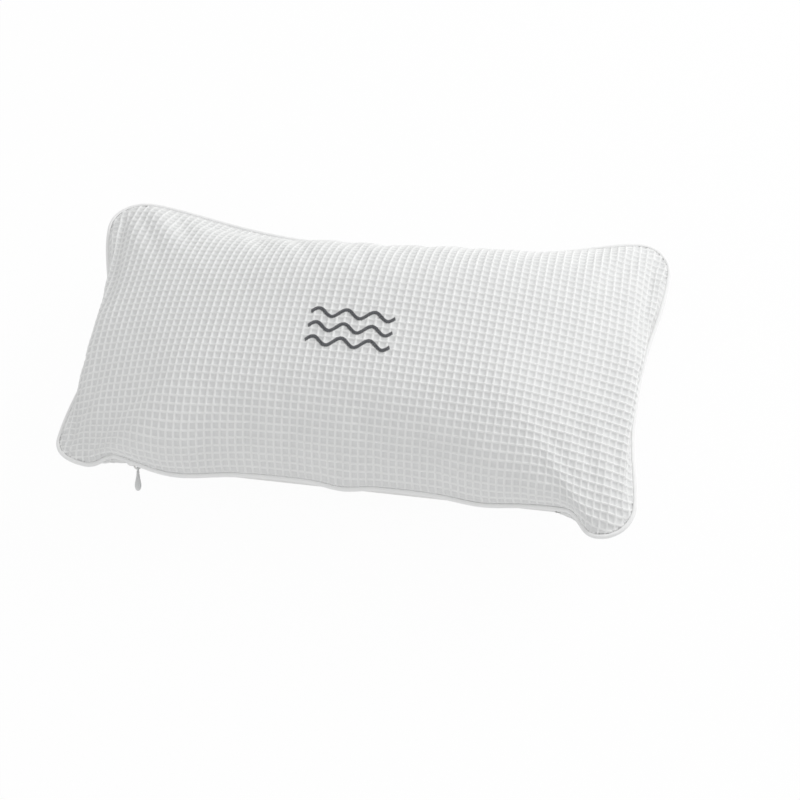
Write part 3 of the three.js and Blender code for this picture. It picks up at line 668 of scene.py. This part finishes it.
ridge_foot, ridge_top = 0.00098, 0.0003
# How strongly painted shade greys the sunk floors against the raised threads, and how far the cloth's own
# tone drifts
floor_shade_strength, drift_tone = 0.75, 0.35
waffle_finish, tree, shader = new_material("waffle_cotton", {
    "Roughness": 0.92, "Specular IOR Level": 0.2, "Sheen Weight": 0.1})
cut_place = add_node(tree, "ShaderNodeUVMap", uv_map="cut_map")
axes = add_node(tree, "ShaderNodeSeparateXYZ")
tree.links.new(cut_place.outputs[0], axes.inputs[0])
away = joined_value(tree, "MINIMUM", *(ridge_distance(tree, axes.outputs[axis]) for axis in (0, 1)))
ridge = add_node(tree, "ShaderNodeMapRange", {1: ridge_foot, 2: ridge_top},
                 interpolation_type="SMOOTHSTEP")
tree.links.new(away, ridge.inputs[0])
drift = with_weave(tree, cut_place.outputs[0], 3450, 0.5, 0.00008, shader)
drifted = joined_value(tree, "MULTIPLY", drift, drift_tone)
floor_shade_and_drift = joined_value(tree, "MULTIPLY_ADD", ridge.outputs[0], floor_shade_strength, drifted)
# Painted shade: the ramp makes the sunk floors greyer than the raised threads, standing in for the shade
# inside the cells; the slow drift is the cloth's own tone
with_tones(tree, floor_shade_and_drift, (0.745, 0.75, 0.75), (0.90, 0.905, 0.90), shader, 0.05, 0.95)


plan_ease = 0.985
flap_fade = 0.010
end_slope, end_fullness = 2.6, 0.55
side_slope, side_fullness = 3, 0.7


def even_rise(rim):
    return np.full(len(rim), panel_rise)


def beside_zip(points):
    """From 1 along the zip's opening to 0 past its ends."""
    return np.clip((zip_end - np.abs(points[:, 0])) / zip_ramp, 0, 1)


def sewn_panel(name, side, crown, lift, pressure, frames, finished, extra_pins=None, rise_of=even_rise):
    """One half of the cover, side 1 for the front and -1 for the back: cut, sewn to the seam, filled,
    shaped as finished says, given its weave and turned in at its edge."""
    panel, places, edge, lengths = cut_cloth(name)
    mesh = panel.data
    on_seam = np.interp(lengths, cut.marks, seam.marks)
    rim = seam.at(on_seam) - seam.outward_at(on_seam) * panel_inset
    plan = places * np.array([half_length, half_width]) / cut_half * plan_ease
    plan[edge] = rim
    plan = evened(mesh, plan, edge)
    share = np.clip(np.abs(places) / cut_half, 0, 1)
    toward_end = (1 - share[:, 0] ** end_slope) ** end_fullness
    toward_side = (1 - share[:, 1] ** side_slope) ** side_fullness
    height = np.maximum(crown * toward_end * toward_side, panel_rise)
    height[edge] = rise_of(rim)
    sewn = np.column_stack([plan, seam_height + side * height])
    held = edge.copy()
    if extra_pins is not None:
        extra_pins(places, sewn, held)
    settled = filled_cloth(panel, places, held, sewn, side, lift, pressure, frames)
    sewn = finished(relaxed(mesh, settled, held))
    plain = pushed(sewn, cover_pushes)
    with_flap = pushed(sewn, cover_pushes + zip_flap_pushes)
    near_seam = np.exp(-np.abs(sewn[:, 2] - seam_height) / flap_fade)
    flap_share = np.ones(len(sewn)) if side > 0 else (1 - beside_zip(sewn)) * near_seam
    placed(mesh, plain + (with_flap - plain) * flap_share[:, None])
    with_cut_map(mesh, places)
    mesh = threads_close(panel)
    drawn_to_ridges(mesh)
    raise_waffle(mesh, side)
    turned_in_edge(mesh, side)
    mesh.materials.clear()
    mesh.materials.append(waffle_finish)
    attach(panel, "pillow")
    return panel


cover_front = sewn_panel("cover_front", 1, crown=0.050, lift=0.015, pressure=30, frames=28,
                         finished=lambda cloth: sunk(cloth, front_sinks))
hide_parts("front_panel")


# Cover back: the same cloth, sewn to the piping and, along the zip, to the zip's lower tape. The four
# eyelets that carry the suction cups hold it, and whatever the pillow hangs on presses it level.
back_depth, back_give = 0.030, 0.004
eyelet_boxes = [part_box(f"eyelet_{i}") for i in (1, 2, 3, 4)]
eyelet_places = np.array([((low + high) / 2)[:2] for low, high in eyelet_boxes])
eyelet_grip = 0.0095
back_stretch = np.array([1.05, 1.10])
zip_room = seam_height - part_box("zip_tape_back")[0].z + 0.0003
zip_bulge = 0.0008
tape_reach, tape_ramp, past_tape = 0.0054, 0.010, 0.006
back_slope = 0.55


def clamp_at_eyelets(places, sewn, held):
    """Pins the cloth flat round each eyelet."""
    for place in eyelet_places:
        from_hole = places - place * back_stretch
        gripped = np.hypot(*from_hole.T) < eyelet_grip
        sewn[gripped, :2] = place + from_hole[gripped]
        sewn[gripped, 2] = seam_height - back_depth
        held[gripped] = True


def pressed_level(points):
    """Flattens the back where it bulges past its depth, and holds its zipped side in under the zip."""
    depth = seam_height - points[:, 2]
    past = np.maximum(depth - back_depth, 0)
    level = np.where(depth > back_depth, back_depth + back_give * np.tanh(past / back_give), depth)
    from_end = zip_half_opening - np.abs(points[:, 0])
    along_zip = np.clip(from_end / tape_ramp, 0, 1)
    below_zip = np.maximum(depth - zip_room, 0)
    edge_line = zip_side_draw_in - half_width + tape_reach * along_zip + back_slope * below_zip
    beyond = np.maximum(edge_line - points[:, 1], 0) * (from_end > -past_tape)
    inward = beyond - zip_bulge * np.tanh(beyond / zip_bulge)
    return np.column_stack([points[:, 0], points[:, 1] + inward, seam_height - level])


def room_for_zip(rim):
    """How far below the seam's plane the back's edge lies: at the lower tape along the zip."""
    inside = beside_zip(rim)
    eased = inside * inside * (3 - 2 * inside) * (rim[:, 1] < 0)
    return panel_rise + (zip_room - panel_rise) * eased


cover_back = sewn_panel("cover_back", -1, crown=0.030, lift=0.008, pressure=15, frames=26,
                        finished=pressed_level, extra_pins=clamp_at_eyelets, rise_of=room_for_zip)
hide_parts("back_panel")


# Piping: a bias strip of smooth cotton folded round a cord and caught in the seam all the way round,
# joined end to end in the middle of the zipped side.
piping_radius = 0.0014
piping_stations, piping_sides = 1400, 20
piping_slack, slack_turns = 0.00006, 900


def rolled(form, stations, sides, place, map_size):
    """Adds a sheet rolled into a tube. place(along, girth) gives points from shares of its length and
    girth, and edges and ends that it brings together are joined."""
    sheet = bmesh.ops.create_grid(form, x_segments=stations, y_segments=sides, size=0.5)["verts"]
    uv = form.loops.layers.uv.get("cut_map") or form.loops.layers.uv.new("cut_map")
    for face in {face for vert in sheet for face in vert.link_faces}:
        for corner in face.loops:
            at = corner.vert.co
            corner[uv].uv = ((at.x + 0.5) * map_size[0], (at.y + 0.5) * map_size[1])
    shares = np.array([vert.co.xy for vert in sheet]) + 0.5
    for vert, point in zip(sheet, place(shares[:, 0], shares[:, 1])):
        vert.co = point
    bmesh.ops.remove_doubles(form, verts=sheet, dist=1e-6)


def piece_from(form, name, finish):
    """A smoothly shaded object of its own from a finished form, with its faces turned outwards."""
    bmesh.ops.recalc_face_normals(form, faces=form.faces)
    for face in form.faces:
        face.smooth = True
    mesh = bpy.data.meshes.new(name)
    form.to_mesh(mesh)
    form.free()
    mesh.materials.append(finish)
    return new_object(name, mesh)


piping_line = Outline(pushed(seam.points, cover_pushes + zip_flap_pushes))


def piping_points(along, girth):
    length = along * piping_line.lengths[-1]
    middle, outward = piping_line.at(np.mod(length, piping_line.lengths[-1])), piping_line.outward_at(length)
    turn = girth * 2 * math.pi
    radius = piping_radius + piping_slack * np.sin(length * slack_turns) * np.sin(turn)
    flat = middle + outward * (np.cos(turn) * radius)[:, None]
    return np.column_stack([flat, seam_height + np.sin(turn) * radius])


piping_finish, tree, shader = new_material("piping_cotton", {"Roughness": 0.75, "Sheen Weight": 0.1})
cut_place = add_node(tree, "ShaderNodeUVMap", uv_map="cut_map")
bias = add_node(tree, "ShaderNodeMapping", {"Rotation": (0, 0, math.radians(45))})
tree.links.new(cut_place.outputs[0], bias.inputs["Vector"])
drift = with_weave(tree, bias.outputs[0], 4200, 0.35, 0.00006, shader)
with_tones(tree, drift, (0.84, 0.845, 0.845), (0.91, 0.91, 0.905), shader)
piping_form = bmesh.new()
rolled(piping_form, piping_stations, piping_sides, piping_points,
       (piping_line.lengths[-1], 2 * math.pi * piping_radius))
piping = piece_from(piping_form, "piping", piping_finish)
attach(piping, "pillow")
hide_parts("piping_tape", "piping_cord")


# Inner bag: plain white cotton, sewn shut round loose fibre. Nothing but the cover holds it, and it
# comes out through the zip.
bag_half = np.array(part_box("liner_back")[1][:2])
bag_slack = 0.0022
bag_roundness = 0.35
bag_columns, bag_rows = 90, 52


def surface_of(panel):
    form = bmesh.new()
    form.from_mesh(panel.data)
    surface = BVHTree.FromBMesh(form)
    form.free()
    return surface


front_surface, back_surface = surface_of(cover_front), surface_of(cover_back)


def cover_height(surface, x, y, side):
    hit = surface.ray_cast(Vector((x, y, seam_height + side)), Vector((0, 0, -side)))
    return hit[0].z


def bag_points(shares, side):
    """A sheet of the bag pressed into one half of the cover. Shares run from -1 to 1 across the bag."""
    squared = shares * np.sqrt(1 - shares[:, ::-1] ** 2 / 2)
    plan = (bag_roundness * squared + (1 - bag_roundness) * shares) * bag_half
    rim = np.clip(1 - (np.abs(shares) ** 4), 0, 1).prod(1)
    surface = front_surface if side > 0 else back_surface
    rise = np.array([cover_height(surface, x, y, side) for x, y in plan]) - side * bag_slack - seam_height
    return np.column_stack([plan, seam_height + rise * rim ** 0.5])


bag_finish, tree, shader = new_material("bag_cotton", {"Roughness": 0.95})
drift = with_weave(tree, object_place(tree), 2600, 0.4, 0.0001, shader)
with_tones(tree, drift, (0.80, 0.80, 0.79), (0.88, 0.88, 0.87), shader)
bag_form = bmesh.new()
for side in (1, -1):
    sheet = bmesh.ops.create_grid(bag_form, x_segments=bag_columns, y_segments=bag_rows, size=1)["verts"]
    for vert, point in zip(sheet, bag_points(np.array([vert.co.xy for vert in sheet]), side)):
        vert.co = point
bmesh.ops.remove_doubles(bag_form, verts=bag_form.verts, dist=1e-6)
inner_bag = piece_from(bag_form, "inner_bag", bag_finish)
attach(inner_bag, "pillow")
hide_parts("liner_front", "liner_back", "filling")


# Embroidery: three waves in dark grey satin stitch, each stitch a glossy thread laid across the wave
# and drawn down into the cloth at both ends.
thread_radius = 0.00022
stitch_spacing = 0.0003772
stitch_unevenness = 0.00012
stitch_lean = math.radians(24)
stitch_height, stitch_sink = 0.00055, 0.0001
stitch_parts, thread_sides = 5, 6

thread_finish, tree, shader = new_material("embroidery_thread", {"Roughness": 0.38, "Sheen Weight": 0.3})
twist = add_node(tree, "ShaderNodeTexNoise", {"Scale": 2200.0, "Detail": 2.0})
tree.links.new(object_place(tree), twist.inputs["Vector"])
with_tones(tree, twist.outputs["Fac"], (0.050, 0.052, 0.058), (0.150, 0.155, 0.168), shader, 0.3, 0.7)
with_bump(tree, twist.outputs["Fac"], 0.5, 0.00006, shader)


def stitch_points(x, row, chance):
    """A function from shares of length and girth to the points of one stitch across the wave at x."""
    slope = float(wave_offset(x + 1e-5) - wave_offset(x - 1e-5)) / 2e-5
    along = Vector((1, slope, 0)).normalized()
    across = Vector((-along.y, along.x, 0))
    way = math.cos(stitch_lean) * across + math.sin(stitch_lean) * along
    middle = Vector((x, row + float(wave_offset(x)), 0))
    reach = stitch_width / 2 + chance.uniform(-stitch_unevenness, stitch_unevenness)
    stops = np.linspace(-1, 1, stitch_parts + 1)
    base = [middle + way * reach * stop for stop in stops]
    heights = [cover_height(front_surface, point.x, point.y, 1) for point in base]
    beside = Vector((way.y, -way.x, 0))

    def place(along, girth):
        at, turn = along * 2 - 1, girth * 2 * math.pi
        bow = stitch_height * np.sqrt(np.clip(1 - at ** 2, 0, 1)) - stitch_sink
        radius = thread_radius * np.sqrt(np.clip(1 - np.abs(at) ** 6, 0, 1))
        plan = np.array(middle)[None] + np.outer(at * reach, way) + np.outer(radius * np.cos(turn), beside)
        return np.column_stack([plan[:, :2], np.interp(at, stops, heights) + bow + radius * np.sin(turn)])

    return place


chance = np.random.default_rng(7)
for index, row in enumerate(wave_rows, 1):
    wave_form = bmesh.new()
    for x in np.arange(-wave_length / 2, wave_length / 2, stitch_spacing):
        rolled(wave_form, stitch_parts, thread_sides, stitch_points(x, row, chance),
               (stitch_width, 2 * math.pi * thread_radius))
    wave = piece_from(wave_form, f"satin_wave_{index}", thread_finish)
    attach(wave, "pillow")
    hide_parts(f"embroidered_wave_{index}")


# Suction cups: soft clear vinyl, moulded in one piece. Each has a neck pushed through an eyelet and a
# head that keeps it there, inside the cover.
cup_radius, cup_lip, cup_hollow = 0.023, 0.0008, 0.005
bell_height, collar_radius, collar_top = 0.0075, 0.0075, 0.012
neck_radius, head_radius = 0.0036, 0.0064
head_bottom, head_top = 0.0169, 0.0203
cup_steps, cup_points = 96, 15


def eased_corners(profile, reach=0.0003):
    """Rounds the corners of a half section, as a mould or a press leaves them."""
    points = [Vector(point) for point in profile]
    smooth = [points[0]]
    for before, corner, after in zip(points, points[1:], points[2:]):
        start = corner + (before - corner) * min(reach / (before - corner).length, 0.4)
        end = corner + (after - corner) * min(reach / (after - corner).length, 0.4)
        smooth += [start, (start + 2 * corner + end) / 4, end]
    return smooth + [points[-1]]


def turned_form(profile, steps=72, closed=False):
    """A round form about Z from its half section. An open section starts and ends on the axis."""
    form = bmesh.new()
    verts = [form.verts.new((radius, 0, height)) for radius, height in profile]
    edges = [form.edges.new(pair) for pair in zip(verts, verts[1:])]
    if closed:
        edges.append(form.edges.new((verts[-1], verts[0])))
    bmesh.ops.spin(form, geom=verts + edges, cent=(0, 0, 0), axis=(0, 0, 1), angle=2 * math.pi,
                   steps=steps, use_merge=True)
    bmesh.ops.remove_doubles(form, verts=form.verts, dist=1e-6)
    return form


def turned_piece(profile, place, name, finish, node, slot, **turning):
    """A round piece at its place on the pillow, in the stead of a solid."""
    form = turned_form(profile, **turning)
    bmesh.ops.translate(form, vec=(*place, 0), verts=form.verts)
    piece = piece_from(form, name, finish)
    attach(piece, "pillow")
    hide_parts(node)


def moulded_grain():
    """The slight unevenness of moulded or enamelled surfaces. Roughness varies about the given value."""
    group, given, made = shared_group("moulded_grain", (
        ("Place", "NodeSocketVector", None),
        ("Roughness", "NodeSocketFloat", 0.4),
    ), ("Roughness", "Height"))
    slow = add_node(group, "ShaderNodeTexNoise", {"Scale": 220.0, "Detail": 3.0})
    fine = add_node(group, "ShaderNodeTexNoise", {"Scale": 3000.0, "Detail": 1.0})
    for texture in (slow, fine):
        group.links.new(given.outputs["Place"], texture.inputs["Vector"])
    centred = joined_value(group, "SUBTRACT", slow.outputs["Fac"], 0.5)
    varied = joined_value(group, "MULTIPLY_ADD", centred, 0.3, given.outputs["Roughness"])
    height = joined_value(group, "MULTIPLY_ADD", fine.outputs["Fac"], 0.3, slow.outputs["Fac"])
    group.links.new(varied, made.inputs["Roughness"])
    group.links.new(height, made.inputs["Height"])
    return group


grain = moulded_grain()


def moulded_material(name, roughness, depth, values):
    """A moulded or enamelled finish."""
    material, tree, shader = new_material(name, values)
    surface = add_node(tree, "ShaderNodeGroup", {"Roughness": roughness}, node_tree=grain)
    tree.links.new(object_place(tree), surface.inputs["Place"])
    tree.links.new(surface.outputs["Roughness"], shader.inputs["Roughness"])
    with_bump(tree, surface.outputs["Height"], 0.3, depth, shader)
    return material


vinyl = moulded_material("clear_vinyl", 0.14, 0.0001, {
    "Base Color": (0.90, 0.94, 0.95, 1), "Transmission Weight": 0.8, "IOR": 1.5})


def between(start, end, share):
    return start + (end - start) * share


cup_inside = [((cup_radius - cup_lip) * share, cup_hollow * (1 - share ** 1.8))
              for share in np.linspace(0, 1, cup_points)]
cup_bell = [(between(collar_radius, cup_radius, share), between(cup_lip, bell_height, 1 - share ** 2.1))
            for share in np.linspace(1, 0, cup_points)]
cup_stem = [(collar_radius, collar_top), (neck_radius, collar_top), (neck_radius, head_bottom),
            (head_radius, head_bottom), (head_radius, (head_bottom + head_top) / 2),
            (neck_radius, head_top), (0, head_top)]
cup_profile = eased_corners(cup_inside + [(cup_radius, 0)] + cup_bell + cup_stem)
for index, place in enumerate(eyelet_places, 1):
    turned_piece(cup_profile, place, f"vinyl_cup_{index}", vinyl, f"suction_cup_{index}", "cup",
                 steps=cup_steps)


# Eyelets: pressed white enamelled metal, a flange under the cloth, a barrel through it, and a lip
# turned over a washer inside the cover.
eyelet_wall, flange_radius, lip_radius = 0.0006, 0.009, 0.006
flange_thickness, flange_edge = 0.0008, 0.0003
eyelet_play = 0.0003
bore_radius = neck_radius + eyelet_play
barrel_radius = bore_radius + eyelet_wall
hole_radius = barrel_radius + eyelet_play
bevel_radius = flange_radius - eyelet_wall


def eased_ring(corners, reach):
    """A closed half section with its corners rounded, which starts halfway along its last side."""
    halfway = (Vector(corners[0]) + Vector(corners[-1])) / 2
    return eased_corners([halfway, *corners, halfway], reach)[:-1]


enamel = moulded_material("white_enamel", 0.32, 0.00008, {
    "Base Color": (0.85, 0.85, 0.84, 1), "Coat Weight": 0.4})
for index, place in enumerate(eyelet_places, 1):
    low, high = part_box(f"eyelet_{index}")
    washer_low, washer_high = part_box(f"eyelet_washer_{index}")
    flange_top = low.z + flange_thickness
    lip = washer_high.z + eyelet_play
    eyelet_section = eased_ring([
        (barrel_radius, lip), (lip_radius, lip), (lip_radius, high.z), (bore_radius, high.z),
        (bore_radius, low.z), (bevel_radius, low.z), (flange_radius, flange_top - flange_edge),
        (flange_radius, flange_top), (barrel_radius, flange_top)], 0.00025)
    washer_section = eased_ring([
        (hole_radius, washer_low.z), (flange_radius, washer_low.z),
        (bevel_radius, washer_high.z), (hole_radius, washer_high.z)], 0.0002)
    turned_piece(eyelet_section, place, f"pressed_eyelet_{index}", enamel, f"eyelet_{index}", "eyelet",
                 closed=True)
    turned_piece(washer_section, place, f"pressed_washer_{index}", enamel, f"eyelet_washer_{index}",
                 "eyelet", closed=True)


# Zip: two woven tapes sewn between the piping and the back, each with a coil of nylon wire whose turns
# mesh with the other's, stops at both ends, and an enamelled slider.
tooth_pitch = 0.0028
coil_wire, wire_per_turn = 0.00036, 0.008
coil_stations, coil_sides = 12, 6

nylon = moulded_material("nylon_wire", 0.4, 0.00003, {"Base Color": (0.86, 0.86, 0.85, 1)})


def coil_points(low, high, way):
    """A flattened coil of wire that fills a box, as a function from shares of length and girth to its
    points, and its number of turns. way is 1 where its heads point up and -1 where down."""
    middle = (low + high) / 2
    reach = (high - low) / 2 - Vector((coil_wire, coil_wire, coil_wire))
    turns = round((high.x - low.x) / tooth_pitch)

    def place(along, girth):
        angle = along * turns * 2 * math.pi
        radial = np.column_stack([0 * angle, np.sin(angle), -way * np.cos(angle)])
        path = np.array(middle) + np.array(reach) * radial
        path[:, 0] += (2 * along - 1) * reach.x
        onward = np.column_stack([np.full(len(angle), tooth_pitch / (2 * math.pi)),
                                  reach.y * np.cos(angle), way * reach.z * np.sin(angle)])
        onward /= np.linalg.norm(onward, axis=1)[:, None]
        beside = np.cross(onward, radial)
        beside /= np.linalg.norm(beside, axis=1)[:, None]
        outward = np.cross(beside, onward)
        closing = coil_wire * np.clip(np.minimum(along, 1 - along) * turns * coil_stations, 0, 1)
        turn = girth * 2 * math.pi
        return path + closing[:, None] * (outward * np.cos(turn)[:, None] + beside * np.sin(turn)[:, None])

    return place, turns


for node, way in (("zip_coil_front", -1), ("zip_coil_back", 1)):
    place, turns = coil_points(*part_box(node), way)
    form = bmesh.new()
    rolled(form, turns * coil_stations, coil_sides, place,
           (turns * wire_per_turn, 2 * math.pi * coil_wire))
    coil = piece_from(form, node.replace("zip_coil", "wire_coil"), nylon)
    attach(coil, "pillow")
    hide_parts(node)

tape_finish, tree, shader = new_material("woven_tape", {"Roughness": 0.85})
drift = with_weave(tree, object_place(tree), 2400, 0.6, 0.00012, shader)
with_tones(tree, drift, (0.80, 0.80, 0.79), (0.90, 0.90, 0.89), shader)
for node in ("zip_tape_front", "zip_tape_back"):
    bpy.data.objects[node].material_slots[0].material = tape_finish


nearly_flat, sharp_edge, shading_edge = (math.radians(angle) for angle in (3, 35, 40))
enamel_ease = 0.00012


def softened(node, name, reach, finish):
    """The CAD piece with its sharp edges rounded off, as casting and enamel leave them."""
    form = bmesh.new()
    form.from_mesh(bpy.data.objects[node].data)
    bmesh.ops.remove_doubles(form, verts=form.verts, dist=1e-6)
    bmesh.ops.dissolve_limit(form, angle_limit=nearly_flat, verts=form.verts, edges=form.edges)
    sharp = [edge for edge in form.edges if edge.is_manifold and edge.calc_face_angle() > sharp_edge]
    bmesh.ops.bevel(form, geom=sharp, offset=reach, offset_type="OFFSET", segments=2, profile=0.5,
                    affect="EDGES", clamp_overlap=True, material=-1)
    piece = piece_from(form, name, finish)
    piece.data.set_sharp_from_angle(angle=shading_edge)
    return piece


for node, name, body in (
        ("zip_slider", "cast_slider", "slider"),
        ("zip_top_stop_front", "top_stop_front", "pillow"),
        ("zip_top_stop_back", "top_stop_back", "pillow"),
        ("zip_bottom_stop", "bottom_stop", "pillow")):
    piece = softened(node, name, enamel_ease, enamel)
    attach(piece, body)
    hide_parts(node)


# Puller: an enamelled pale grey drop hanging by its eye from the slider's bail, and leaning as it
# does in the photograph.
puller_pivot = Vector((-0.1225, -0.08405, 0.03755))
puller_lean = math.radians(15)
bail_reach = 0.0020
eye_hole, eye_wall, eye_thickness = 0.00095, 0.0008, 0.0009
drop_start, drop_end, drop_radius = 0.00335, 0.0168, 0.0020
drop_ease, puller_steps = 0.0008, 32
drop_widths = ((0, 0.425), (0.12, 0.42), (0.3, 0.56), (0.5, 0.8), (0.68, 1), (0.82, 0.97), (0.92, 0.72),
               (0.98, 0.36))

drop_side = [(drop_radius * wide, between(drop_start, drop_end, along)) for along, wide in drop_widths]
puller_form = turned_form(eased_corners([(0, drop_start), *drop_side, (0, drop_end)], drop_ease),
                          steps=puller_steps)
bmesh.ops.rotate(puller_form, cent=(0, 0, 0), matrix=Matrix.Rotation(math.pi / 2, 3, "X"),
                 verts=puller_form.verts)
eye_section = [(eye_hole + eye_wall / 2 * (1 + math.cos(turn)), eye_thickness / 2 * math.sin(turn))
               for turn in np.linspace(0, 2 * math.pi, 13)[:-1]]
eye_form = turned_form(eye_section, steps=puller_steps, closed=True)
bmesh.ops.rotate(eye_form, cent=(0, 0, 0), matrix=Matrix.Rotation(math.pi / 2, 3, "Y"),
                 verts=eye_form.verts)
bmesh.ops.translate(eye_form, vec=(0, -bail_reach, 0), verts=eye_form.verts)
eye_mesh = bpy.data.meshes.new("puller_eye")
eye_form.to_mesh(eye_mesh)
eye_form.free()
puller_form.from_mesh(eye_mesh)
bpy.data.meshes.remove(eye_mesh)
hung = Matrix.Translation(puller_pivot) @ Matrix.Rotation(puller_lean, 4, "Z")
bmesh.ops.transform(puller_form, matrix=hung, verts=puller_form.verts)
puller_enamel = moulded_material("puller_enamel", 0.3, 0.00006, {"Base Color": (0.70, 0.71, 0.71, 1)})
puller = piece_from(puller_form, "drop_puller", puller_enamel)
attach(puller, "puller")
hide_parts("zip_puller")
